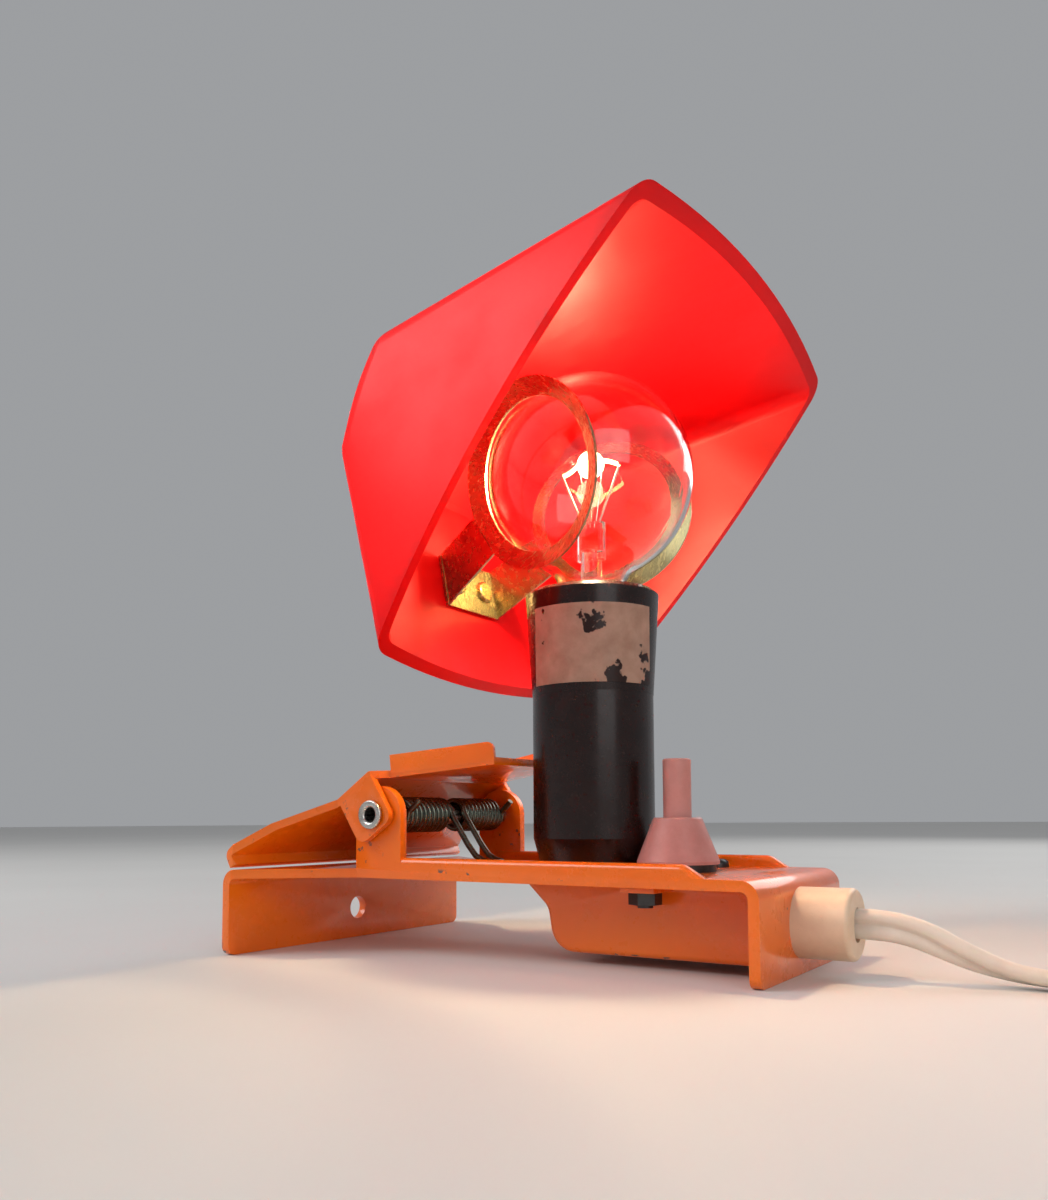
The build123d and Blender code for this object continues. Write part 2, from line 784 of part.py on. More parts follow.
grommet_end = base_length + grommet_length
grommet_inside = base_length - sheet - grommet_inner_length


def make_cable_grommet():
    """Plastic entry: outer barrel, waist in the flange's hole, inner head."""
    barrel = grommet_disc(grommet_radius, base_length, grommet_end)
    barrel = fillet(barrel.edges().sort_by(Axis.X)[-1], 0.9)
    waist = grommet_disc(grommet_hole_radius, base_length - sheet, base_length)
    inner = grommet_disc(grommet_inner_radius, grommet_inside, base_length - sheet)
    return barrel + waist + inner - cord_slot(grommet_inside - 1, grommet_end + 1)


def make_cord_anchor():
    """Fibre block that grips the cord just inside the entry."""
    start = grommet_inside - 4.0
    anchor = block((start, grommet_inside), (grommet_y - 6.0, grommet_y + 6.0),
                   (cover_floor_z + cover_sheet, grommet_z + 5.5))
    return anchor - cord_slot(start - 1, grommet_inside + 1)


def make_live_wire():
    """Insulated core from the cord's end to the switch."""
    points = [(grommet_inside - wire_start, grommet_y, grommet_z + 1.5),
              (switch_x + 11.0, grommet_y + 1.0, grommet_z + 2.0),
              (switch_x + 9.3, grommet_y, 10.4)]
    return wire_rod(points, core_radius, 1.4)


def make_neutral_wire():
    """Insulated core from the cord's end, past the switch, to the lampholder."""
    passing = cover_width / 2 - cover_sheet - 2.4
    points = [(grommet_inside - wire_start, grommet_y, grommet_z - 1.5),
              (grommet_inside - 7.0, 2.6, grommet_z - 2.0), (switch_x + 8.0, passing, 6.5),
              (switch_x - 10.0, passing, 6.5), (holder_x + 1.5, 3.0, 7.4),
              (holder_x, 1.2, plate_bottom - 2.2), (holder_x + 0.1, 1.2, base_height + 9.0),
              (holder_x + 5.0, 0.4, cap_bottom_z - 9.4)]
    return wire_rod(points, core_radius, 2.0)


def make_switch_wire():
    """Insulated core from the switch to the lampholder's other terminal."""
    points = [(switch_x - 9.3, switch_y, 9.6), (switch_x - 13.0, switch_y - 1.5, 8.2),
              (holder_x + 0.4, -2.2, 8.8), (holder_x, -1.2, plate_bottom - 2.0),
              (holder_x - 0.1, -1.2, base_height + 9.0),
              (holder_x - 5.0, -0.4, cap_bottom_z - 9.4)]
    return wire_rod(points, core_radius, 1.8)


# ------------------------------------------------------------------ cord
cord_points = [
    (118.5, -2.0, 9.7),
    (127.5, -1.9, 10.1),
    (135.5, -1.0, 8.9),
    (143.0, 0.6, 5.0),
    (150.5, 1.6, 2.4),
    (158.5, 1.2, 2.0),
    (165.5, -3.4, 2.0),
    (172.2, -10.8, 2.0),
]


def corner_radii(points):
    """Largest arc that each corner's two runs allow."""
    radii = []
    for before, corner, after in zip(points, points[1:], points[2:]):
        inward = Vector(*corner) - Vector(*before)
        outward = Vector(*after) - Vector(*corner)
        turn = radians(inward.get_angle(outward))
        radii.append(0.45 * min(inward.length, outward.length) / tan(turn / 2))
    return radii


def cord_tube(points):
    """Round cord along straight runs joined by tangent arcs."""
    radii = corner_radii(points)
    path = FilletPolyline(*points, radius=radii)
    solid = sweep(Plane(path @ 0, z_dir=path % 0) * Circle(cord_radius), path)
    expected = pi * cord_radius ** 2 * path.length
    print("cord radii", [round(radius, 1) for radius in radii],
          "length", round(path.length, 1), "volume ratio", round(solid.volume / expected, 4))
    return solid


def make_cord_coil():
    """Outer shape of the wound length: a round-edged ring on the table."""
    ring = tube(coil_mid_radius + coil_width / 2, coil_mid_radius - coil_width / 2, 0,
                coil_height, coil_x, coil_y)
    edges = [edge for edge in ring.edges().filter_by(GeomType.CIRCLE)]
    return fillet(edges, cord_radius)


def on_coil(radius, angle, z):
    """Point above the coil, by its radius and its angle about the coil's centre."""
    return (coil_x + radius * cos(radians(angle)), coil_y + radius * sin(radians(angle)), z)


plug_angle = 70.0
plug_z = coil_height + plug_thickness / 2


def plug_place():
    """Plug lies on the coil, along its turns."""
    return Pos(*on_coil(coil_mid_radius, plug_angle, plug_z)) * Rot(0, 0, plug_angle + 90)


def make_plug_body():
    """Flat two-pin plug: pinched waist for the fingers, tapered cord end."""
    half = plug_width / 2
    outline = Polyline((plug_length / 2, -half), (plug_length / 2, half),
                       (2.0, half - 1.0), (-plug_length / 2, 5.0),
                       (-plug_length / 2, -5.0), (2.0, -half + 1.0), close=True)
    body = extrude(make_face(outline), plug_thickness / 2, both=True)
    body = fillet(body.edges().filter_by(Axis.Z), 2.0)
    rims = body.faces().sort_by(Axis.Z)[-1].edges() + body.faces().sort_by(Axis.Z)[0].edges()
    return plug_place() * fillet(rims, 1.6)


def make_plug_pins():
    """Two round pins, sleeved for half their length."""
    pins = []
    for side in (-1, 1):
        pin = Rot(0, 90, 0) * Cylinder(plug_pin_radius, pin_length)
        pin = fillet(pin.edges().sort_by(Axis.X)[-1], 1.2)
        pins.append(Pos(plug_length / 2 + pin_length / 2, side * plug_pin_spacing / 2, 0) * pin)
    return plug_place() * Compound(children=pins)


def make_cord_tail():
    """Last stretch, from the coil's top turn up into the plug."""
    end = plug_place() * Pos(-plug_length / 2, 0, 0)
    start_angle = plug_angle - 80.0
    points = [
        on_coil(coil_mid_radius - 1.0, start_angle, coil_height),
        on_coil(coil_mid_radius + 0.5, start_angle + 16.0, coil_height + cord_radius),
        on_coil(coil_mid_radius + 1.0, start_angle + 31.0, coil_height + cord_radius + 2.0),
        tuple(end.position),
    ]
    return cord_tube(points)


def make_cord_tie():
    """Soft band round the coil, on the side away from the plug."""
    outer = Box(coil_width + 2.0, 6.0, coil_height + 2.0)
    outer = fillet(outer.edges().filter_by(Axis.Y), 2.4)
    inner = Box(coil_width, 8.0, coil_height)
    inner = fillet(inner.edges().filter_by(Axis.Y), cord_radius)
    band = outer - inner
    band = band & Pos(0, 0, 1.0) * Box(3 * coil_width, 20, coil_height + 2.0)
    centre = on_coil(coil_mid_radius, plug_angle - 180.0, coil_height / 2)
    return Pos(*centre) * Rot(0, 0, plug_angle - 180.0) * band


# ------------------------------------------------------------------ shade
def crowned_outline(half_x, low_half_y, high_half_y, lean, crown, corner):
    """Four bowed sides with rounded corners; the high side may be wider and lean along Y."""
    corners = [(-half_x, -low_half_y - lean / 2), (half_x, -high_half_y + lean / 2),
               (half_x, high_half_y + lean / 2), (-half_x, low_half_y - lean / 2)]
    mean_half_y = (low_half_y + high_half_y) / 2
    end_crown = crown * half_x / mean_half_y
    bows = [(0, -mean_half_y - crown), (half_x + end_crown, lean / 2),
            (0, mean_half_y + crown), (-half_x - end_crown, -lean / 2)]
    sides = [ThreePointArc(corners[i], bows[i], corners[(i + 1) % 4]) for i in range(4)]
    face = make_face(Curve() + sides)
    return fillet(face.vertices(), corner)


def shade_plane(low, high, y):
    """Plane through two points of the shade's section, its x axis up the section."""
    along = Vector(high[0] - low[0], 0, high[1] - low[1])
    middle = Vector((low[0] + high[0]) / 2, y, (low[1] + high[1]) / 2)
    return Plane(origin=middle, x_dir=along, z_dir=along.cross(Vector(0, 1, 0)))


def span(low, high):
    """Half the distance between two points of the section."""
    return sqrt((high[0] - low[0]) ** 2 + (high[1] - low[1]) ** 2) / 2


def moved_line(start, end, inward):
    """Line through two section points, moved towards the section's inside."""
    length = sqrt((end[0] - start[0]) ** 2 + (end[1] - start[1]) ** 2)
    step = ((end[0] - start[0]) / length, (end[1] - start[1]) / length)
    return (start[0] - step[1] * inward, start[1] + step[0] * inward), step


def meeting(first, second):
    """Point where two section lines cross."""
    (ax, az), (au, aw) = first
    (bx, bz), (bu, bw) = second
    reach = ((bx - ax) * bw - (bz - az) * bu) / (au * bw - aw * bu)
    return (ax + au * reach, az + aw * reach)


def shade_bucket(inset, overshoot):
    """Solid bucket, drawn in by a wall and run out past the mouth when hollowing."""
    mouth_line = moved_line(mouth_low, mouth_high, -overshoot)
    roof = moved_line(mouth_high, back_high, inset)
    end = moved_line(back_high, back_low, inset)
    floor = moved_line(back_low, mouth_low, inset)
    low, high = meeting(floor, mouth_line), meeting(mouth_line, roof)
    back_top, back_bottom = meeting(roof, end), meeting(end, floor)
    mouth = shade_plane(low, high, mouth_y) * crowned_outline(
        span(low, high), mouth_low_half_width - inset, mouth_high_half_width - inset,
        mouth_lean, mouth_crown, mouth_corner - inset)
    back = shade_plane(back_bottom, back_top, shade_y) * crowned_outline(
        span(back_bottom, back_top), shade_back_half_width - inset,
        shade_back_half_width - inset, 0.0, back_crown, back_corner - inset)
    solid = loft([mouth, back])
    back_face = min(solid.faces(), key=lambda face: (face.center() - back.center()).length)
    return fillet(back_face.edges(), back_edge_fillet - inset)


def make_shade_shell():
    """Hollow bucket between the mouth's outline and a smaller back."""
    return shade_bucket(0, 0) - shade_bucket(shade_wall, 1.0)


def ring_frame(side):
    """Axis, tangent and origin data of one clip ring: outward axis and strap direction."""
    aim = Vector(cos(radians(clip_aim)), 0, sin(radians(clip_aim)))
    splay = radians(clip_splay)
    axis = aim * sin(splay) + Vector(0, side, 0) * cos(splay)
    reach = aim * cos(splay) - Vector(0, side, 0) * sin(splay)
    return axis, reach


def clip_ring(side):
    """Dished ring that bears on the globe."""
    axis, reach = ring_frame(side)
    seat = sqrt((bulb_radius + clip_gap) ** 2 - clip_ring_inner ** 2)
    points = [(clip_ring_inner, seat), (clip_ring_outer, seat + clip_ring_dish),
              (clip_ring_outer, seat + clip_ring_dish + clip_sheet),
              (clip_ring_inner, seat + clip_sheet)]
    ring = revolve(make_face(Plane.XZ * Polyline(*points, close=True)), Axis.Z)
    plane = Plane(origin=bulb_centre, x_dir=reach, z_dir=axis)
    return plane * ring


def wall_meeting(shade):
    """Point of the shade's inner face that the clip's strap is riveted to."""
    aim = Vector(cos(radians(clip_aim)), 0, sin(radians(clip_aim)))
    probe = Edge.make_line(bulb_centre, bulb_centre + aim * 80)
    hit = probe & shade
    ends = [vertex.center() for vertex in hit.vertices()]
    return min(ends, key=lambda point: (point - bulb_centre).length)


def strap_plane(shade):
    """Strap lies on the wall's inner face: x along the base's Y, z towards the bulb."""
    point = wall_meeting(shade)
    wall = min(shade.faces(), key=lambda face: face.distance_to(point))
    inward = wall.normal_at(point)
    if inward.dot(bulb_centre - point) < 0:
        inward = inward * -1
    return Plane(origin=point + inward * strap_standoff, x_dir=Vector(0, 1, 0), z_dir=inward)


def clip_arm(side, base):
    """Flat arm from the strap's end to the ring, twisting a little on the way."""
    axis, reach = ring_frame(side)
    seat = sqrt((bulb_radius + clip_gap) ** 2 - clip_ring_inner ** 2)
    ring_point = bulb_centre + axis * (seat + clip_ring_dish + clip_sheet * 0.5)
    ring_point = ring_point + reach * (clip_ring_outer - 0.6)
    strap_end = (base * Pos(side * (strap_length / 2 - 0.6), 0, clip_sheet / 2)).position
    direction = ring_point - strap_end
    width_low = base.y_dir
    width_high = reach.cross(axis)
    if width_high.dot(width_low) < 0:
        width_high = width_high * -1
    leaving = direction - width_low * direction.dot(width_low)
    low = Plane(origin=strap_end, x_dir=width_low, z_dir=leaving)
    high = Plane(origin=ring_point, x_dir=width_high, z_dir=direction)
    low_end = low * Rectangle(strap_width, clip_sheet)
    high_end = high * Rectangle(strap_width - arm_narrowing, clip_sheet)
    return loft([low_end, high_end])


def rivet_places(base):
    return [base * Pos(side * rivet_spacing / 2, 0, 0) for side in (-1, 1)]


def make_bulb_clip(base):
    strap = base * Pos(0, 0, clip_sheet / 2) * Box(strap_length, strap_width, clip_sheet)
    clip = strap
    for side in (-1, 1):
        clip = clip + clip_ring(side) + clip_arm(side, base)
    for place in rivet_places(base):
        clip = clip - place * Cylinder(rivet_radius, 10)
    return clip


def make_clip_rivets(base):
    rivets = []
    back = -(shade_wall + 1.1)
    for place in rivet_places(base):
        shank = place * Pos(0, 0, (back + clip_sheet) / 2) * Cylinder(rivet_radius,
                                                                     clip_sheet - back)
        inner = Pos(0, 0, clip_sheet + rivet_head_height / 2) * Cylinder(rivet_head_radius,
                                                                         rivet_head_height)
        inner = fillet(inner.edges().sort_by(Axis.Z)[-1], 0.6)
        outer = Pos(0, 0, back - rivet_head_height / 2) * Cylinder(rivet_head_radius,
                                                                   rivet_head_height)
        outer = fillet(outer.edges().sort_by(Axis.Z)[0], 0.6)
        rivets.append(shank + place * inner + place * outer)
    return Compound(children=rivets)


# ------------------------------------------------------------------ write the nodes
shade_shell = make_shade_shell()
strap_base = strap_plane(shade_shell)
for rivet_place in rivet_places(strap_base):
    shade_shell = shade_shell - rivet_place * Cylinder(rivet_radius, 14)

save(make_base_bracket(), "base_bracket")
save(make_wiring_cover(), "wiring_cover")
save(make_cover_screws(), "cover_screws")
save(make_cover_nuts(), "cover_nuts")
save(make_hinge_pin(), "hinge_pin")
save(make_clamp_lever(), "clamp_lever")
save(make_torsion_spring(), "torsion_spring")
save(make_lampholder_body(), "lampholder_body")
save(make_lampholder_skirt(), "lampholder_skirt")
save(make_thread_shell(), "thread_shell")
save(make_holder_insert(), "holder_insert")
save(make_centre_contact(), "centre_contact")
save(make_holder_terminals(), "holder_terminals")
save(make_holder_nipple(), "holder_nipple")
save(make_nipple_nut(), "nipple_nut")
save(make_nipple_ring(), "nipple_ring")
save(make_rating_label(), "rating_label")
save(make_bulb_glass(), "bulb_glass")
save(make_bulb_cap(), "bulb_cap")
save(make_cap_insulator(), "cap_insulator")
save(make_cap_contact(), "cap_contact")
save(make_glass_stem(), "glass_stem")
save(make_lead_wires(), "lead_wires")
save(make_filament(), "filament")
save(make_switch_nut(), "switch_nut")
save(make_switch_collar(), "switch_collar")
save(make_switch_body(), "switch_body")
save(make_push_button(), "push_button")
save(make_switch_spring(), "switch_spring")
save(make_switch_terminals(), "switch_terminals")
save(make_cable_grommet(), "cable_grommet")
save(make_cord_anchor(), "cord_anchor")
save(make_live_wire(), "live_wire")
save(make_neutral_wire(), "neutral_wire")
save(make_switch_wire(), "switch_wire")
save(cord_tube(cord_points), "cord")
save(make_cord_coil(), "cord_coil")
save(make_cord_tail(), "cord_tail")
save(make_cord_tie(), "cord_tie")
save(make_plug_body(), "plug_body")
save(make_plug_pins(), "plug_pins")
save(shade_shell, "shade_shell")
save(make_bulb_clip(strap_base), "bulb_clip")
save(make_clip_rivets(strap_base), "clip_rivets")
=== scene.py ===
"""Clamp-on lamp with a red shade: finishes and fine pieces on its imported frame.

Everything is in metres, in the frame's own axes: +X runs along the base towards
the cord, +Y runs across it, +Z is up and the lamp stands at Z = 0.
"""
from __future__ import annotations

import json
import logging
import math
from collections.abc import Iterable, Sequence
from dataclasses import dataclass, field
from enum import Enum

import bmesh
import bpy
from mathutils import Matrix, Vector

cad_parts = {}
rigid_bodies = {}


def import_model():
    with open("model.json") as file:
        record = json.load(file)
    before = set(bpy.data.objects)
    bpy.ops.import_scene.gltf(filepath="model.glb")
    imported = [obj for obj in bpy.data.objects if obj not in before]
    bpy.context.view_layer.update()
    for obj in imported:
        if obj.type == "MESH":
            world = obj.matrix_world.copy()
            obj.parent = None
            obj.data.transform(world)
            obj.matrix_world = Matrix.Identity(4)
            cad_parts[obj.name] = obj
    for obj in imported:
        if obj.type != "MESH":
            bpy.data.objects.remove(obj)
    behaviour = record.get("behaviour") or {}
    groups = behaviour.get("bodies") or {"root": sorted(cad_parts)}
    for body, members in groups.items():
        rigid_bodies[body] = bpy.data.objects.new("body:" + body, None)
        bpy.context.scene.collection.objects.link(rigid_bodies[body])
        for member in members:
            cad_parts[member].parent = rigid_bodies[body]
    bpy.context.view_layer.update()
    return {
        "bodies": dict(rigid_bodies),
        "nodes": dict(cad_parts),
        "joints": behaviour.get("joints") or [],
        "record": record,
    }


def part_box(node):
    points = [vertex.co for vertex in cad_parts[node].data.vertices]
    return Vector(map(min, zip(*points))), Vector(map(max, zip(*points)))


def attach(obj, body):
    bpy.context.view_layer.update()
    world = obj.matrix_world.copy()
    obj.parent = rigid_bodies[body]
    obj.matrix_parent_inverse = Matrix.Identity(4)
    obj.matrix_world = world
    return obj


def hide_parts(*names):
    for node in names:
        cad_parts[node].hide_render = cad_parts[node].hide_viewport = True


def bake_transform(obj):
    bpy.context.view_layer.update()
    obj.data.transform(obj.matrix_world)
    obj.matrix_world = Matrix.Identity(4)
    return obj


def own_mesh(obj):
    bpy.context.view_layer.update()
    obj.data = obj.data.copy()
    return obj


MM = 0.001

Colour = tuple[float, float, float]
log = logging.getLogger("lamp")


class Body(Enum):
    """The bodies that added pieces ride on, by their names in the frame."""

    BASE = "base"
    LEVER = "lever"
    BULB = "bulb"


def eased(share: float) -> float:
    """Clamp a share to 0..1 and smooth it at both ends."""
    share = min(max(share, 0.0), 1.0)
    return share * share * (3.0 - 2.0 * share)


# --------------------------------------------------------------------- materials
class NodeBoard:
    """Lays out the nodes of one material."""

    def __init__(self, name: str) -> None:
        """Start an empty material.

        Args:
            name: The material's name.
        """
        self.material = bpy.data.materials.new(name)
        self.material.use_nodes = True
        self.tree = self.material.node_tree
        self.tree.nodes.clear()
        self.output = self.tree.nodes.new("ShaderNodeOutputMaterial")
        self.place = self.tree.nodes.new("ShaderNodeTexCoord").outputs["Object"]

    def add(self, kind: str, **settings: object) -> bpy.types.Node:
        """Add a node.

        Args:
            kind: The node's type, without its ShaderNode prefix.
            **settings: Properties to set on the node.

        Returns:
            The new node.
        """
        node = self.tree.nodes.new("ShaderNode" + kind)
        for key, value in settings.items():
            setattr(node, key, value)
        return node

    def link(self, source: bpy.types.NodeSocket, target: bpy.types.NodeSocket) -> None:
        """Connect two sockets."""
        self.tree.links.new(source, target)

    def stretched(self, scale: Sequence[float]) -> bpy.types.NodeSocket:
        """Return the object's coordinates, scaled along each axis."""
        mapping = self.add("Mapping")
        mapping.inputs["Scale"].default_value = scale
        self.link(self.place, mapping.inputs["Vector"])
        return mapping.outputs["Vector"]

    def noise(self, scale: float, detail: float = 4.0, roughness: float = 0.55,
              stretch: Sequence[float] = (1.0, 1.0, 1.0)) -> bpy.types.NodeSocket:
        """Add a noise pattern.

        Args:
            scale: Cells per metre.
            detail: Octaves of the pattern.
            roughness: Weight of the finer octaves.
            stretch: Scale along each axis, for drawn or brushed patterns.

        Returns:
            The pattern's value.
        """
        node = self.add("TexNoise")
        node.inputs["Scale"].default_value = scale
        node.inputs["Detail"].default_value = detail
        node.inputs["Roughness"].default_value = roughness
        self.link(self.stretched(stretch), node.inputs["Vector"])
        return node.outputs["Fac"]

    def span(self, value: bpy.types.NodeSocket, source: tuple[float, float],
             target: tuple[float, float]) -> bpy.types.NodeSocket:
        """Map a value from one range to another, clamped.

        Args:
            value: The value to map.
            source: Its range.
            target: The range that it is mapped to.

        Returns:
            The mapped value.
        """
        node = self.add("MapRange")
        self.link(value, node.inputs["Value"])
        limits = ("From Min", "From Max", "To Min", "To Max")
        for name, limit in zip(limits, (*source, *target)):
            node.inputs[name].default_value = limit
        return node.outputs["Result"]

    def blend(self, share: bpy.types.NodeSocket, first: Colour | bpy.types.NodeSocket,
              second: Colour | bpy.types.NodeSocket) -> bpy.types.NodeSocket:
        """Mix two colours.

        Args:
            share: How much of the second colour shows.
            first: A colour or a colour socket.
            second: A colour or a colour socket.

        Returns:
            The mixed colour.
        """
        node = self.add("Mix", data_type="RGBA")
        self.link(share, node.inputs["Factor"])
        for socket, colour in ((node.inputs[6], first), (node.inputs[7], second)):
            if isinstance(colour, tuple):
                socket.default_value = (*colour, 1.0)
            else:
                self.link(colour, socket)
        return node.outputs[2]

    def product(self, first: bpy.types.NodeSocket,
                second: bpy.types.NodeSocket) -> bpy.types.NodeSocket:
        """Multiply two values."""
        node = self.add("Math", operation="MULTIPLY")
        self.link(first, node.inputs[0])
        self.link(second, node.inputs[1])
        return node.outputs[0]

    def relief(self, height: bpy.types.NodeSocket, strength: float,
               distance: float) -> bpy.types.NodeSocket:
        """Turn a height pattern into a bumped normal.

        Args:
            height: The height pattern.
            strength: Share of the bump that shows.
            distance: Depth of the pattern, in metres.

        Returns:
            The normal.
        """
        node = self.add("Bump")
        node.inputs["Strength"].default_value = strength
        node.inputs["Distance"].default_value = distance
        self.link(height, node.inputs["Height"])
        return node.outputs["Normal"]

    def surface(self, **values: float | Colour) -> bpy.types.Node:
        """Add the main shader and connect it to the output.

        Args:
            **values: Socket values, with underscores for the spaces in their names.

        Returns:
            The shader node.
        """
        shader = self.add("BsdfPrincipled")
        for key, value in values.items():
            socket = shader.inputs[key.replace("_", " ")]
            socket.default_value = (*value, 1.0) if isinstance(value, tuple) else value
        self.link(shader.outputs["BSDF"], self.output.inputs["Surface"])
        return shader


@dataclass(frozen=True)
class Enamel:
    """Glossy stove enamel on pressed sheet, chipped here and there on its edges."""

    slot: str
    colour: Colour
    shaded: Colour
    bare: Colour = (0.10, 0.075, 0.06)

    def material(self) -> bpy.types.Material:
        """Return the finish as a material."""
        board = NodeBoard(self.slot)
        shader = board.surface(Specular_IOR_Level=0.4, Coat_Weight=0.55, Coat_Roughness=0.07,
                               Coat_IOR=1.5)
        tone = board.span(board.noise(38.0, 3.0), (0.35, 0.7), (0.0, 1.0))
        paint = board.blend(tone, self.colour, self.shaded)
        edge = board.add("NewGeometry").outputs["Pointiness"]
        edge = board.span(edge, (0.56, 0.66), (0.0, 1.0))
        chips = board.span(board.noise(420.0, 4.0, 0.6), (0.64, 0.67), (0.0, 1.0))
        worn = board.product(edge, chips)
        board.link(board.blend(worn, paint, self.bare), shader.inputs["Base Color"])
        smears = board.noise(90.0, 6.0, 0.7)
        board.link(board.span(smears, (0.35, 0.75), (0.22, 0.42)), shader.inputs["Roughness"])
        peel = board.noise(900.0, 2.0, 0.4)
        board.link(board.relief(peel, 0.10, 0.00008), shader.inputs["Normal"])
        return board.material


@dataclass(frozen=True)
class TranslucentPlastic:
    """Satin moulded plastic that lamp light shines through, with a faint painted glow (emission) on
    top of the real light.
    """

    slot: str
    colour: Colour
    deep: Colour
    # glow: colour of the painted glow (emission), also used as the colour of the light let through
    glow: Colour

    def material(self) -> bpy.types.Material:
        """Return the finish as a material."""
        board = NodeBoard(self.slot)
        # Emission here is a painted glow, standing in for bulb light coming through the plastic
        shader = board.surface(Specular_IOR_Level=0.4, Emission_Strength=0.07,
                               Emission_Color=self.glow)
        cloud = board.span(board.noise(22.0, 4.0, 0.5), (0.3, 0.7), (0.0, 1.0))
        tint = board.blend(cloud, self.colour, self.deep)
        board.link(tint, shader.inputs["Base Color"])
        grain = board.relief(board.noise(1500.0, 3.0, 0.5), 0.12, 0.00006)
        board.link(grain, shader.inputs["Normal"])
        scuffs = board.noise(60.0, 7.0, 0.7, (1.0, 3.0, 1.0))
        board.link(board.span(scuffs, (0.4, 0.8), (0.36, 0.50)), shader.inputs["Roughness"])
        through = board.add("BsdfTranslucent")
        through.inputs["Color"].default_value = (*self.glow, 1.0)
        board.link(grain, through.inputs["Normal"])
        share = board.add("MixShader")
        share.inputs["Fac"].default_value = 0.45
        board.link(shader.outputs["BSDF"], share.inputs[1])
        board.link(through.outputs["BSDF"], share.inputs[2])
        board.link(share.outputs["Shader"], board.output.inputs["Surface"])
        return board.material


@dataclass(frozen=True)
class Moulding:
    """Opaque moulded plastic, phenolic or ceramic."""

    slot: str
    colour: Colour
    mottle: Colour
    roughness: float
    grain: float = 0.05
    coat: float = 0.0
    dust: float = 0.0

    def material(self) -> bpy.types.Material:
        """Return the finish as a material."""
        board = NodeBoard(self.slot)
        shader = board.surface(Specular_IOR_Level=0.35, Coat_Weight=self.coat,
                               Coat_Roughness=0.08)
        cloud = board.span(board.noise(170.0, 6.0, 0.65), (0.36, 0.68), (0.0, 1.0))
        body = board.blend(cloud, self.colour, self.mottle)
        if self.dust:
            specks = board.span(board.noise(1900.0, 2.0, 0.6), (0.66, 0.72), (0.0, self.dust))
            body = board.blend(specks, body, (0.42, 0.36, 0.32))
        board.link(body, shader.inputs["Base Color"])
        rubbed = board.noise(240.0, 5.0, 0.7)
        spread = (self.roughness * 0.8, self.roughness * 1.25)
        board.link(board.span(rubbed, (0.35, 0.7), spread), shader.inputs["Roughness"])
        fine = board.noise(2600.0, 3.0, 0.5)
        board.link(board.relief(fine, self.grain, 0.00005), shader.inputs["Normal"])
        return board.material


@dataclass(frozen=True)
class Metal:
    """Plated or drawn metal with tarnish and a brushed grain."""

    slot: str
    colour: Colour
    tarnish: Colour
    roughness: float
    grain: tuple[float, float, float] = (1.0, 1.0, 8.0)
    relief: float = 0.10

    def material(self) -> bpy.types.Material:
        """Return the finish as a material."""
        board = NodeBoard(self.slot)
        shader = board.surface(Metallic=1.0)
        stain = board.span(board.noise(260.0, 6.0, 0.7), (0.42, 0.72), (0.0, 1.0))
        board.link(board.blend(stain, self.colour, self.tarnish), shader.inputs["Base Color"])
        brushed = board.noise(700.0, 4.0, 0.6, self.grain)
        spread = (self.roughness * 0.7, self.roughness * 1.35)
        board.link(board.span(brushed, (0.3, 0.7), spread), shader.inputs["Roughness"])
        board.link(board.relief(brushed, self.relief, 0.00005), shader.inputs["Normal"])
        return board.material


@dataclass(frozen=True)
class ClearGlass:
    """Thin clear glass with faint handling marks."""

    slot: str
    tint: Colour = (0.98, 0.97, 0.95)

    def material(self) -> bpy.types.Material:
        """Return the finish as a material."""
        board = NodeBoard(self.slot)
        shader = board.surface(Base_Color=self.tint, Transmission_Weight=1.0, IOR=1.45)
        marks = board.noise(130.0, 8.0, 0.75)
        board.link(board.span(marks, (0.55, 0.8), (0.0, 0.12)), shader.inputs["Roughness"])
        return board.material


@dataclass(frozen=True)
class PaperLabel:
    """Old blank sticker whose torn patches show the dark moulding under it."""

    slot: str
    paper: Colour
    stain: Colour
    under: Colour

    def material(self) -> bpy.types.Material:
        """Return the finish as a material."""
        board = NodeBoard(self.slot)
        shader = board.surface(Specular_IOR_Level=0.3)
        aged = board.span(board.noise(300.0, 5.0, 0.6), (0.35, 0.7), (0.0, 1.0))
        sheet = board.blend(aged, self.paper, self.stain)
        torn = board.span(board.noise(135.0, 4.0, 0.55), (0.60, 0.615), (0.0, 1.0))
        board.link(board.blend(torn, sheet, self.under), shader.inputs["Base Color"])
        board.link(board.span(torn, (0.0, 1.0), (0.62, 0.25)), shader.inputs["Roughness"])
        board.link(board.relief(torn, 0.5, -0.0001), shader.inputs["Normal"])
        return board.material


@dataclass(frozen=True)
class SoftVinyl:
    """Aged cord sheath: soft, slightly waxy, darker where it was handled."""

    slot: str
    colour: Colour
    handled: Colour

    def material(self) -> bpy.types.Material:
        """Return the finish as a material."""
        board = NodeBoard(self.slot)
        shader = board.surface(Specular_IOR_Level=0.45, Subsurface_Weight=0.08,
                               Subsurface_Scale=0.0008)
        soiled = board.span(board.noise(70.0, 7.0, 0.7), (0.42, 0.75), (0.0, 1.0))
        board.link(board.blend(soiled, self.colour, self.handled), shader.inputs["Base Color"])
        waxy = board.noise(420.0, 4.0, 0.6)
        board.link(board.span(waxy, (0.3, 0.7), (0.38, 0.56)), shader.inputs["Roughness"])
        board.link(board.relief(waxy, 0.15, 0.00008), shader.inputs["Normal"])
        return board.material


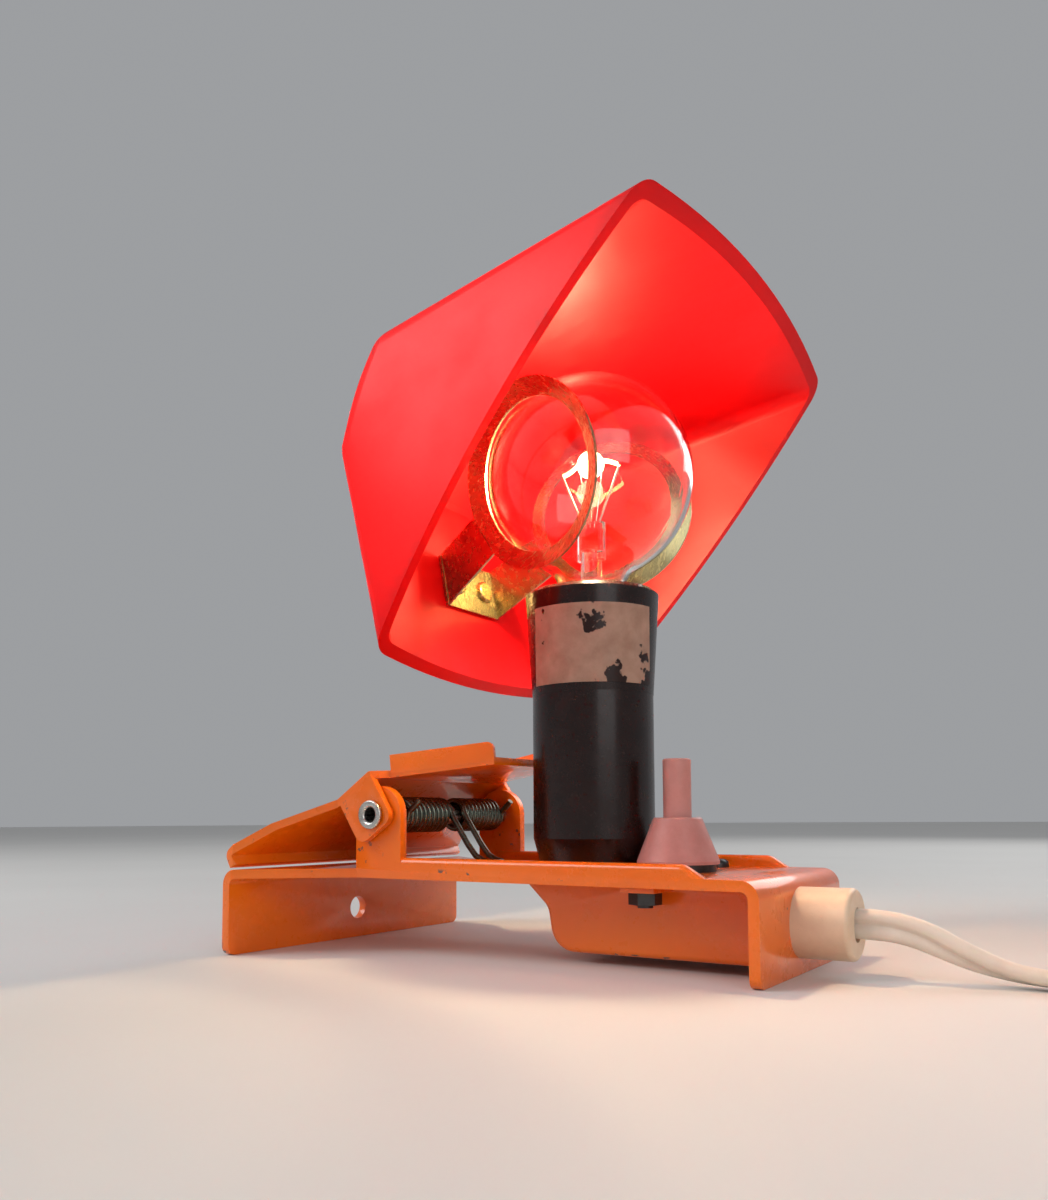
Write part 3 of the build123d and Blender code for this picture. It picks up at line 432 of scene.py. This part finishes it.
@dataclass(frozen=True)
class HotWire:
    """Glowing tungsten, brighter along some of its turns."""

    slot: str
    colour: Colour
    strength: float

    def material(self) -> bpy.types.Material:
        """Return the finish as a material."""
        board = NodeBoard(self.slot)
        shader = board.surface(Roughness=0.5, Emission_Strength=self.strength)
        heat = board.span(board.noise(500.0, 2.0), (0.3, 0.7), (0.0, 1.0))
        glow = board.blend(heat, self.colour, (1.0, 0.72, 0.34))
        board.link(glow, shader.inputs["Base Color"])
        board.link(glow, shader.inputs["Emission Color"])
        return board.material


@dataclass(frozen=True)
class PaleFloor:
    """Matt pale studio floor."""

    slot: str = "studio_floor"
    colour: Colour = (0.66, 0.65, 0.63)

    def material(self) -> bpy.types.Material:
        """Return the finish as a material."""
        board = NodeBoard(self.slot)
        shader = board.surface(Roughness=0.6, Specular_IOR_Level=0.3)
        cloud = board.span(board.noise(9.0, 4.0), (0.3, 0.7), (0.0, 1.0))
        lighter = tuple(value * 1.04 for value in self.colour)
        board.link(board.blend(cloud, self.colour, lighter), shader.inputs["Base Color"])
        return board.material


FINISHES = (
    Enamel("orange_paint", (0.90, 0.170, 0.002), (0.82, 0.135, 0.002)),
    # The shade's third colour is its painted glow (emission), and also the colour of the light it
    # lets through
    TranslucentPlastic("red_shade", (0.60, 0.0008, 0.003), (0.48, 0.0004, 0.002),
                       (0.92, 0.0015, 0.004)),
    Moulding("bakelite", (0.010, 0.0030, 0.0022), (0.018, 0.005, 0.0035), 0.26, coat=0.08,
             dust=0.05),
    # These pinks are cream plastic with the red light from the shade painted in
    Moulding("pink_plastic", (0.58, 0.27, 0.24), (0.50, 0.21, 0.185), 0.42, dust=0.1),
    Moulding("cream_plastic", (0.80, 0.62, 0.45), (0.72, 0.53, 0.37), 0.38, dust=0.15),
    Moulding("ceramic", (0.78, 0.74, 0.68), (0.70, 0.66, 0.6), 0.55, grain=0.2),
    Moulding("core_brown", (0.14, 0.05, 0.025), (0.1, 0.035, 0.02), 0.5),
    Moulding("core_blue", (0.03, 0.10, 0.35), (0.025, 0.08, 0.28), 0.5),
    Moulding("tie_black", (0.02, 0.02, 0.02), (0.035, 0.034, 0.033), 0.6, grain=0.3),
    Moulding("black_glass", (0.01, 0.01, 0.014), (0.02, 0.02, 0.025), 0.1, coat=1.0),
    Metal("zinc_steel", (0.60, 0.59, 0.56), (0.40, 0.37, 0.33), 0.28),
    Metal("spring_steel", (0.17, 0.19, 0.15), (0.10, 0.10, 0.08), 0.3),
    Metal("dark_steel", (0.07, 0.07, 0.07), (0.035, 0.03, 0.03), 0.38),
    Metal("brass", (0.72, 0.49, 0.19), (0.42, 0.26, 0.10), 0.26),
    Metal("nickel", (0.70, 0.67, 0.62), (0.50, 0.46, 0.41), 0.2),
    Metal("solder", (0.55, 0.55, 0.56), (0.36, 0.36, 0.37), 0.45),
    Metal("clip_steel", (0.36, 0.32, 0.17), (0.33, 0.29, 0.15), 0.24, (1.0, 6.0, 1.0), 0.01),
    ClearGlass("bulb_glass"),
    PaperLabel("label_foil", (0.43, 0.27, 0.20), (0.33, 0.19, 0.135), (0.022, 0.008, 0.006)),
    SoftVinyl("cord_vinyl", (0.80, 0.70, 0.60), (0.68, 0.56, 0.46)),
    HotWire("filament", (1.0, 0.55, 0.2), 85.0),
)


class Paintbox:
    """Every finish of the lamp, built once and found by its slot."""

    def __init__(self) -> None:
        """Build all the finishes."""
        self.materials = {finish.slot: finish.material() for finish in FINISHES}

    def coat(self, piece: bpy.types.Object, slot: str) -> None:
        """Give a piece one finish all over.

        Args:
            piece: The piece to finish.
            slot: The finish's slot.
        """
        piece.data.materials.clear()
        piece.data.materials.append(self.materials[slot])


# --------------------------------------------------------------------- modelling
class Workbench:
    """Common modelling moves on one active object."""

    @staticmethod
    def clear() -> None:
        """Leave edit mode and select nothing."""
        if bpy.context.object and bpy.context.object.mode != "OBJECT":
            bpy.ops.object.mode_set(mode="OBJECT")
        bpy.ops.object.select_all(action="DESELECT")

    @staticmethod
    def take(piece: bpy.types.Object) -> None:
        """Make a piece the only selected one, and the active one."""
        Workbench.clear()
        piece.select_set(True)
        bpy.context.view_layer.objects.active = piece

    @staticmethod
    def settle(name: str) -> bpy.types.Object:
        """Name the active object and move its place into its mesh.

        Args:
            name: The piece's name.

        Returns:
            The active object.
        """
        piece = bpy.context.object
        piece.name = name
        piece.data.name = name
        bpy.ops.object.transform_apply(location=True, rotation=True, scale=True)
        return piece

    @staticmethod
    def merged_copy(node: bpy.types.Object, name: str) -> bpy.types.Object:
        """Copy a frame node's mesh and merge its loose triangles.

        Args:
            node: The frame's node.
            name: The copy's name.

        Returns:
            The copy, on its own and at the origin.
        """
        piece = bpy.data.objects.new(name, node.data.copy())
        bpy.context.scene.collection.objects.link(piece)
        Workbench.take(piece)
        bpy.ops.mesh.customdata_custom_splitnormals_clear()
        bpy.ops.object.mode_set(mode="EDIT")
        bpy.ops.mesh.select_all(action="SELECT")
        bpy.ops.mesh.remove_doubles(threshold=0.002 * MM)
        bpy.ops.mesh.dissolve_limited(angle_limit=math.radians(1.0))
        bpy.ops.object.mode_set(mode="OBJECT")
        return piece

    @staticmethod
    def spline(curve: bpy.types.Curve, points: Sequence[Vector], resolution: int) -> None:
        """Run a smooth line through a curve's control points.

        Args:
            curve: The curve that gets the line.
            points: Its control points, in metres.
            resolution: Steps between two control points.
        """
        line = curve.splines.new("NURBS")
        line.points.add(len(points) - 1)
        for point, place in zip(line.points, points):
            point.co = (*place, 1.0)
        line.order_u = 3
        line.use_endpoint_u = True
        line.resolution_u = resolution

    @staticmethod
    def soften(piece: bpy.types.Object, width: float) -> None:
        """Round a piece's sharp edges and shade it by angle.

        Args:
            piece: The piece.
            width: The rounding's width, in metres.
        """
        Workbench.take(piece)
        bevel = piece.modifiers.new("edge_rounding", "BEVEL")
        bevel.width = width
        bevel.segments = 3
        bevel.limit_method = "ANGLE"
        bevel.angle_limit = math.radians(40.0)
        bpy.ops.object.modifier_apply(modifier=bevel.name)
        bpy.ops.object.shade_smooth_by_angle(angle=math.radians(35.0))

    @staticmethod
    def wire(name: str, points: Sequence[Vector], radius: float, sides: int = 3) -> bpy.types.Object:
        """Bend a round wire along points.

        Args:
            name: The piece's name.
            points: The control points of the wire's line, in metres.
            radius: The wire's radius.
            sides: How finely the wire's round section is divided.

        Returns:
            The wire as a mesh.
        """
        Workbench.clear()
        bpy.ops.curve.primitive_nurbs_path_add(location=(0.0, 0.0, 0.0))
        curve = bpy.context.object.data
        curve.splines.clear()
        Workbench.spline(curve, points, resolution=2)
        curve.bevel_depth = radius
        curve.bevel_resolution = sides
        curve.use_fill_caps = True
        bpy.ops.object.convert(target="MESH")
        bpy.ops.object.shade_smooth_by_angle(angle=math.radians(50.0))
        return Workbench.settle(name)


# ------------------------------------------------------------------------- cord
@dataclass
class TwinCord:
    """Flat twin flex: out of the entry, over the table, and a tied coil."""

    paint: Paintbox
    strand_radius: float = 1.4 * MM
    strand_offset: float = 1.38 * MM
    width: float = 5.6 * MM
    length: float = 1.72
    exit_point: tuple[float, float, float] = (0.06275, -0.0126, 0.0101)
    coil_centre: tuple[float, float] = (0.14425, -0.0026)
    coil_start: float = 208.4
    coil_turns: float = 8.394
    points_per_turn: int = 14
    upright_until: float = 9 * MM
    flat_from: float = 40 * MM
    profile_points: int = 11
    strand_arc: float = 304.0
    climb_from: float = 0.62
    sway: float = 0.22
    sway_rate: float = 31.0
    route: tuple[tuple[float, float, float], ...] = (
        (0.05575, -0.0126, 0.0097),
        (0.06475, -0.0125, 0.0101),
        (0.07275, -0.0116, 0.0089),
        (0.08025, -0.0100, 0.0050),
        (0.08775, -0.0090, 0.0024),
        (0.09575, -0.0094, 0.0018),
        (0.10275, -0.0140, 0.0017),
        (0.10945, -0.0214, 0.0017),
    )
    seats: tuple[tuple[float, float], ...] = (
        (0.0366, 0.0018), (0.0310, 0.0018), (0.0254, 0.0018), (0.0282, 0.0066),
        (0.0338, 0.0066), (0.0366, 0.0114), (0.0310, 0.0114), (0.0254, 0.0114),
        (0.0300, 0.0150),
    )
    tail: tuple[tuple[float, float, float], ...] = (
        (0.17558, 0.0007, 0.0165),
        (0.17412, 0.0089, 0.0188),
        (0.17240, 0.0156, 0.0205),
        (0.17082, 0.0207, 0.0210),
    )

    def coil_points(self) -> list[Vector]:
        """Return the coil's turns, each in its seat, easing to the next one."""
        points = []
        steps = int(self.coil_turns * self.points_per_turn)
        for step in range(1, steps + 1):
            turn = step / self.points_per_turn
            seat = min(int(turn), len(self.seats) - 2)
            ease = eased((turn - seat - self.climb_from) / (1.0 - self.climb_from))
            low, high = self.seats[seat], self.seats[seat + 1]
            radius = low[0] + (high[0] - low[0]) * ease
            height = low[1] + (high[1] - low[1]) * ease
            angle = math.radians(self.coil_start + 360.0 * turn)
            points.append(Vector((self.coil_centre[0] + radius * math.cos(angle),
                                  self.coil_centre[1] + radius * math.sin(angle), height)))
        return points

    def centreline(self) -> list[Vector]:
        """Return points along the cord's smooth line."""
        controls = [Vector(point) for point in self.route]
        controls += self.coil_points()
        controls += [Vector(point) for point in self.tail]
        curve = bpy.data.curves.new("cord_route", "CURVE")
        curve.dimensions = "3D"
        Workbench.spline(curve, controls, resolution=6)
        carrier = bpy.data.objects.new("cord_route", curve)
        bpy.context.scene.collection.objects.link(carrier)
        bpy.context.view_layer.update()
        mesh = bpy.data.meshes.new_from_object(carrier)
        line = [vertex.co.copy() for vertex in mesh.vertices]
        bpy.data.objects.remove(carrier)
        bpy.data.meshes.remove(mesh)
        return line

    def profile(self) -> list[tuple[float, float]]:
        """Return the section of two joined strands, across and up."""
        reach = math.radians(self.strand_arc / 2.0)
        points = []
        for side in (1.0, -1.0):
            for step in range(self.profile_points):
                angle = -reach + 2.0 * reach * step / (self.profile_points - 1)
                across = side * (self.strand_offset + self.strand_radius * math.cos(angle))
                points.append((across, side * self.strand_radius * math.sin(angle)))
        return points

    def turn_at(self, travelled: float) -> float:
        """Return how far the section is turned from flat, in radians.

        Args:
            travelled: Distance from the cord's start.

        Returns:
            The turn: upright in the entry, flat on the table.
        """
        share = eased((travelled - self.upright_until) / (self.flat_from - self.upright_until))
        sway = self.sway * math.sin(travelled * self.sway_rate) * share
        return math.radians(90.0) * (1.0 - share) + sway

    def rings(self, mesh: bmesh.types.BMesh, line: Sequence[Vector]) -> list[list]:
        """Set the section around each point of the line.

        Args:
            mesh: The mesh that gets the points.
            line: Points along the cord's smooth line.

        Returns:
            One ring of mesh points for each point of the line.
        """
        profile = self.profile()
        travelled = 0.0
        rings = []
        for index, place in enumerate(line):
            ahead = line[min(index + 1, len(line) - 1)]
            behind = line[max(index - 1, 0)]
            along = (ahead - behind).normalized()
            across = along.cross(Vector((0.0, 0.0, 1.0))).normalized()
            up = across.cross(along)
            if index:
                travelled += (place - line[index - 1]).length
            turn = self.turn_at(travelled)
            x_axis = across * math.cos(turn) + up * math.sin(turn)
            y_axis = up * math.cos(turn) - across * math.sin(turn)
            rings.append([mesh.verts.new(place + x_axis * x + y_axis * y) for x, y in profile])
        return rings

    def build(self) -> None:
        line = self.centreline()
        mesh = bmesh.new()
        rings = self.rings(mesh, line)
        count = len(rings[0])
        for near, far in zip(rings, rings[1:]):
            for index in range(count):
                following = (index + 1) % count
                mesh.faces.new((near[index], far[index], far[following], near[following]))
        mesh.faces.new(rings[0])
        mesh.faces.new(list(reversed(rings[-1])))
        bmesh.ops.recalc_face_normals(mesh, faces=mesh.faces)
        data = bpy.data.meshes.new("twin_cord")
        mesh.to_mesh(data)
        mesh.free()
        cord = bpy.data.objects.new("twin_cord", data)
        bpy.context.scene.collection.objects.link(cord)
        Workbench.take(cord)
        bpy.ops.object.shade_smooth_by_angle(angle=math.radians(60.0))
        self.paint.coat(cord, "cord_vinyl")
        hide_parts("cord", "cord_coil", "cord_tail")
        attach(cord, Body.BASE.value)
        log.info("cord: %d points along its line", len(line))


# ------------------------------------------------------------------ clamp spring
@dataclass
class ClampSpring:
    """Twin torsion spring: two wound coils, a middle loop and two short outer legs."""

    paint: Paintbox
    frame: dict
    wire_radius: float = 0.7 * MM
    coil_radius: float = 3.4 * MM
    pitch: float = 1.55 * MM
    turns: int = 10
    points_per_turn: int = 16
    inner_gap: float = 2.6 * MM
    loop_reach: float = 15.0 * MM
    leg_reach: float = 9.5 * MM
    leg_lean: float = 0.7 * MM
    leg_share: float = 0.5
    twist_start: float = 0.8 * MM
    twist_end: float = 0.9 * MM

    def half(self, side: int, middle: Vector, plate_top: float, under: float) -> bpy.types.Object:
        """Wind one half of the spring.

        Args:
            side: 1 for the far half, -1 for the near half.
            middle: Where the hinge's axis crosses the lamp's mid-plane.
            plate_top: Height of the plate that the loop presses on.
            under: Height that the cut-short outer leg aims for, under the handle.

        Returns:
            The half.
        """
        loop_height = plate_top + self.wire_radius + 0.1 * MM
        start = middle + Vector((self.coil_radius, side * self.inner_gap, 0.0))
        tip = Vector((middle.x + self.loop_reach, start.y, loop_height))
        points = [Vector((tip.x, middle.y - side * 0.1 * MM, loop_height)),
                  Vector((tip.x, middle.y + side * 1.2 * MM, loop_height)),
                  tip + Vector((-0.6 * MM, 0.0, 0.0)),
                  tip + Vector((-4.5 * MM, 0.0, 0.8 * MM)),
                  start + Vector((2.6 * MM, 0.0, -3.6 * MM)), start]
        steps = self.turns * self.points_per_turn
        for step in range(1, steps + 1):
            turn = step / self.points_per_turn
            angle = 2.0 * math.pi * turn
            offset = Vector((self.coil_radius * math.cos(angle), side * self.pitch * turn,
                             self.coil_radius * math.sin(angle)))
            points.append(middle + Vector((0.0, side * self.inner_gap, 0.0)) + offset)
        end = points[-1]
        leg_end = Vector((middle.x + self.leg_reach, end.y - side * self.leg_lean, under))
        points += [end + Vector((0.2 * MM, 0.0, 0.8 * MM)),
                   end.lerp(leg_end, 0.3), end.lerp(leg_end, self.leg_share)]
        name = "clamp_spring_far" if side > 0 else "clamp_spring_near"
        return Workbench.wire(name, points, self.wire_radius)

    def build(self) -> None:
        """Wind both halves."""
        joint = next(j for j in self.frame["joints"] if j["name"] == "jaw_open")
        middle = Vector(joint["pos_m"])
        plate_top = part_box("lampholder_body")[0].z
        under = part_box("torsion_spring")[1].z - self.wire_radius
        for side in (-1, 1):
            half = self.half(side, middle, plate_top, under)
            self.paint.coat(half, "spring_steel")
            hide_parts("torsion_spring")
            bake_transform(half)
            log.info("clamp spring, side %d: %d points", side, len(half.data.vertices))


# ---------------------------------------------------------------------- filament
@dataclass
class BulbWorks:
    """What glows and stands inside the bulb."""

    paint: Paintbox
    coil_radius: float = 0.42 * MM
    wire_radius: float = 0.11 * MM
    turns: int = 34
    points_per_turn: int = 8
    support_radius: float = 0.13 * MM
    support_shares: tuple[float, ...] = (0.3, 0.5, 0.7)
    end_inset: float = 0.4 * MM
    bow_foot: float = 0.35 * MM
    bow_margin: float = 1.1 * MM
    wave_height: float = 0.5 * MM

    def bow(self, share: float, low: Vector, high: Vector) -> Vector:
        """Return a place on the filament's bow.

        Args:
            share: From 0 at one end to 1 at the other.
            low: The lowest corner of the frame's filament.
            high: Its highest corner.

        Returns:
            The place.
        """
        rise = math.sin(math.pi * share)
        wave = self.wave_height * math.sin(4.0 * math.pi * share)
        span = high.x - low.x - 2.0 * self.end_inset
        height = high.z - low.z - self.bow_margin
        return Vector((low.x + self.end_inset + span * share, (low.y + high.y) / 2 + wave,
                       low.z + self.bow_foot + height * rise))

    def build(self) -> None:
        """Wind the filament and set the wires that carry it."""
        low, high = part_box("filament")
        steps = self.turns * self.points_per_turn
        points = []
        for step in range(steps + 1):
            angle = 2.0 * math.pi * step / self.points_per_turn
            centre = self.bow(step / steps, low, high)
            points.append(centre + Vector((0.0, self.coil_radius * math.cos(angle),
                                           self.coil_radius * math.sin(angle))))
        coil = Workbench.wire("glowing_filament", points, self.wire_radius, sides=1)
        self.paint.coat(coil, "filament")
        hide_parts("filament")
        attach(coil, Body.BULB.value)
        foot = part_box("glass_stem")[1]
        for number, share in enumerate(self.support_shares, start=1):
            top = self.bow(share, low, high)
            base = Vector((low.x + (high.x - low.x) * (0.35 + 0.3 * share), top.y,
                           foot.z - 1.0 * MM))
            hook = [base, base.lerp(top, 0.6) + Vector((0.0, 0.3 * MM, 0.0)),
                    top + Vector((0.0, 0.1 * MM, -0.5 * MM)), top]
            support = Workbench.wire(f"filament_support_{number}", hook, self.support_radius,
                                     sides=1)
            self.paint.coat(support, "nickel")
            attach(support, Body.BULB.value)
        log.info("filament: %d turns", self.turns)


# ------------------------------------------------------------------- sheet metal
@dataclass
class SheetMetal:
    """The pressed and painted pieces, with their edges broken."""

    paint: Paintbox
    frame: dict
    edge: float = 0.55 * MM

    def build(self) -> None:
        """Replace each pressing with a softened copy."""
        pressings = (("base_bracket", Body.BASE), ("wiring_cover", Body.BASE),
                     ("clamp_lever", Body.LEVER))
        for node, body in pressings:
            piece = Workbench.merged_copy(self.frame["nodes"][node], f"{node}_pressing")
            Workbench.soften(piece, self.edge)
            self.paint.coat(piece, "orange_paint")
            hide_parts(node)
            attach(piece, body.value)
            log.info("%s: %d faces", piece.name, len(piece.data.polygons))


# ----------------------------------------------------------------- frame's pieces
@dataclass
class FrameDressing:
    """Finishes on the frame's own pieces, from the record's slots."""

    paint: Paintbox
    frame: dict
    shadowless: tuple[str, ...] = ("bulb_glass", "glass_stem")

    def build(self) -> None:
        """Give every frame node its finish."""
        slots = {part["node"]: part["material_slot"] for part in self.frame["record"]["subparts"]}
        for name, node in self.frame["nodes"].items():
            self.paint.coat(node, slots[name])
        for name in self.shadowless:
            self.frame["nodes"][name].visible_shadow = False
        self.fold_return_spring()
        log.info("frame: %d nodes dressed", len(slots))

    def fold_return_spring(self) -> None:
        """Give the spring under the button its own copy of its mesh."""
        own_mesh(self.frame["nodes"]["switch_spring"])


# ------------------------------------------------------------------------ studio
@dataclass
class Studio:
    """Camera, floor and lights."""

    frame: dict
    focal_length: float = 30.0
    shift_up: float = 0.1214
    camera_place: tuple[float, float, float] = (0.11221, -0.19994, 0.02966)
    yaw: float = 33.03
    pitch: float = 4.05
    roll: float = 0.30
    floor_radius: float = 4.0
    floor_drop: float = 0.05 * MM
    sky_colour: Colour = (0.80, 0.82, 0.85)
    sky_strength: float = 0.42
    bulb_power: float = 0.34
    bulb_colour: Colour = (1.0, 0.72, 0.42)
    lights: tuple[tuple[str, tuple[float, float, float], float, float], ...] = field(
        default=(
            ("window_light", (-0.55, -0.55, 0.65), 0.55, 4.6),
            ("soft_fill", (0.75, -0.55, 0.40), 0.60, 2.0),
            ("rear_light", (0.15, 0.85, 0.60), 0.55, 2.6),
        ))

    def camera(self) -> None:
        """Set the camera at the viewing angle."""
        data = bpy.data.cameras.new("camera")
        data.lens = self.focal_length
        data.sensor_width = 36.0
        data.sensor_fit = "AUTO"
        data.shift_y = self.shift_up
        data.clip_start = 0.01
        camera = bpy.data.objects.new("camera", data)
        bpy.context.scene.collection.objects.link(camera)
        turn = (Matrix.Rotation(math.radians(self.yaw), 4, "Z")
                @ Matrix.Rotation(math.radians(90.0 + self.pitch), 4, "X")
                @ Matrix.Rotation(math.radians(-self.roll), 4, "Z"))
        camera.matrix_world = Matrix.Translation(self.camera_place) @ turn
        bpy.context.scene.camera = camera

    def floor(self) -> None:
        """Lay the floor under the lamp."""
        Workbench.clear()
        bpy.ops.mesh.primitive_circle_add(vertices=96, radius=self.floor_radius,
                                          fill_type="NGON", location=(0.0, 0.0, -self.floor_drop))
        ground = Workbench.settle("studio_floor")
        ground.data.materials.append(PaleFloor().material())

    def light(self) -> None:
        """Hang the soft lights and light the bulb."""
        world = bpy.data.worlds.new("studio")
        world.use_nodes = True
        sky = world.node_tree.nodes["Background"]
        sky.inputs["Color"].default_value = (*self.sky_colour, 1.0)
        sky.inputs["Strength"].default_value = self.sky_strength
        bpy.context.scene.world = world
        bpy.context.scene.view_settings.view_transform = "Standard"
        for name, place, size, power in self.lights:
            data = bpy.data.lights.new(name, "AREA")
            data.size = size
            data.energy = power
            lamp = bpy.data.objects.new(name, data)
            bpy.context.scene.collection.objects.link(lamp)
            aim = Vector((0.0, 0.0, 0.06)) - Vector(place)
            lamp.matrix_world = (Matrix.Translation(place)
                                 @ aim.to_track_quat("-Z", "Y").to_matrix().to_4x4())
        low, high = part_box("filament")
        data = bpy.data.lights.new("bulb_light", "POINT")
        data.energy = self.bulb_power
        data.color = self.bulb_colour
        data.shadow_soft_size = 3.0 * MM
        glow = bpy.data.objects.new("bulb_light", data)
        bpy.context.scene.collection.objects.link(glow)
        glow.location = (low + high) / 2

    def build(self) -> None:
        """Set up the whole studio."""
        self.camera()
        self.floor()
        self.light()


def main() -> None:
    """Build the lamp on its frame."""
    logging.basicConfig(level=logging.INFO, format="%(name)s: %(message)s")
    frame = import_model()
    Workbench.clear()
    paint = Paintbox()
    Studio(frame).build()
    FrameDressing(paint, frame).build()
    TwinCord(paint).build()
    SheetMetal(paint, frame).build()
    ClampSpring(paint, frame).build()
    BulbWorks(paint).build()


if __name__ == "__main__":
    main()
